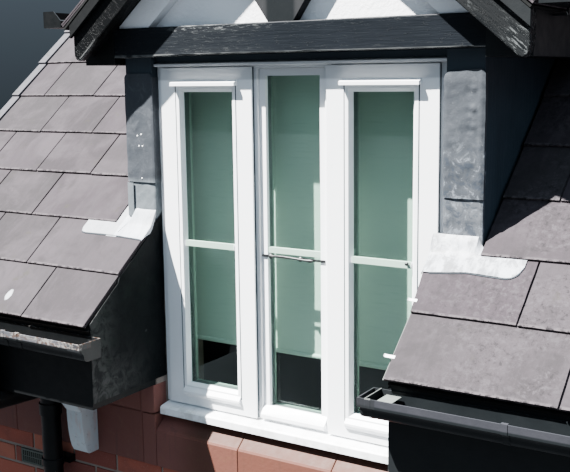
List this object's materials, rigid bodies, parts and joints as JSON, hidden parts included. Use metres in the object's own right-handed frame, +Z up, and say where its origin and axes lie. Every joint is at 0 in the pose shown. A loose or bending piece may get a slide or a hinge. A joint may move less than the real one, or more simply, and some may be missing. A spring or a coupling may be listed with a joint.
{
  "type": "dormer window",
  "caption": "Wall dormer with a triple-light timber window, black and white gable, lead-clad posts, slated roofs, boxed eaves, gutters and the brick walls that carry it.",
  "frame": {"origin": "centre of the underside of the whole part's bounding box, at the foot of the walls", "axes": "+X to the right along the front wall, +Y into the house, +Z up"},
  "size_m": [3.634, 2.6104, 3.0023],
  "materials": {
    "brick": "matte",
    "terracotta": "matte",
    "slate": "matte",
    "ridge_tile": "matte",
    "verge": "matte",
    "white_timber": "satin paint",
    "black_timber": "weathered paint",
    "white_render": "matte",
    "lead": "dull",
    "black_iron": "painted",
    "window_glass": "clear",
    "blind": "matte",
    "latch": "satin",
    "vent": "matte"
  },
  "bodies": {
    "root": {"front_wall": "brick", "left_side_wall": "brick", "right_side_wall": "brick", "back_wall": "brick", "stone_course": "terracotta", "stone_sill": "terracotta", "window_frame": "white_timber", "timber_sill": "white_timber", "left_casement": "white_timber", "centre_light": "white_timber", "right_casement": "white_timber", "window_glass": "window_glass", "window_latch": "latch", "roller_blind": "blind", "blind_roller": "blind", "left_post": "black_timber", "right_post": "black_timber", "left_cheek": "black_timber", "right_cheek": "black_timber", "window_beam": "black_timber", "head_packer": "black_timber", "post_lead": "lead", "lead_aprons": "lead", "box_end_lead": "lead", "gable_panel": "white_render", "gable_timbers": "black_timber", "left_bargeboard": "black_timber", "right_bargeboard": "black_timber", "left_dormer_roof": "slate", "right_dormer_roof": "slate", "dormer_ridge": "ridge_tile", "dormer_eaves": "black_timber", "dormer_gutters": "black_iron", "valley_lead": "lead", "left_main_roof": "slate", "right_main_roof": "slate", "upper_main_roof": "slate", "main_ridge": "ridge_tile", "verge_strips": "verge", "left_eaves_box": "black_timber", "right_eaves_box": "black_timber", "main_gutters": "black_iron", "corbels": "terracotta", "downpipe": "black_iron", "air_brick": "vent"}
  },
  "joints": []
}
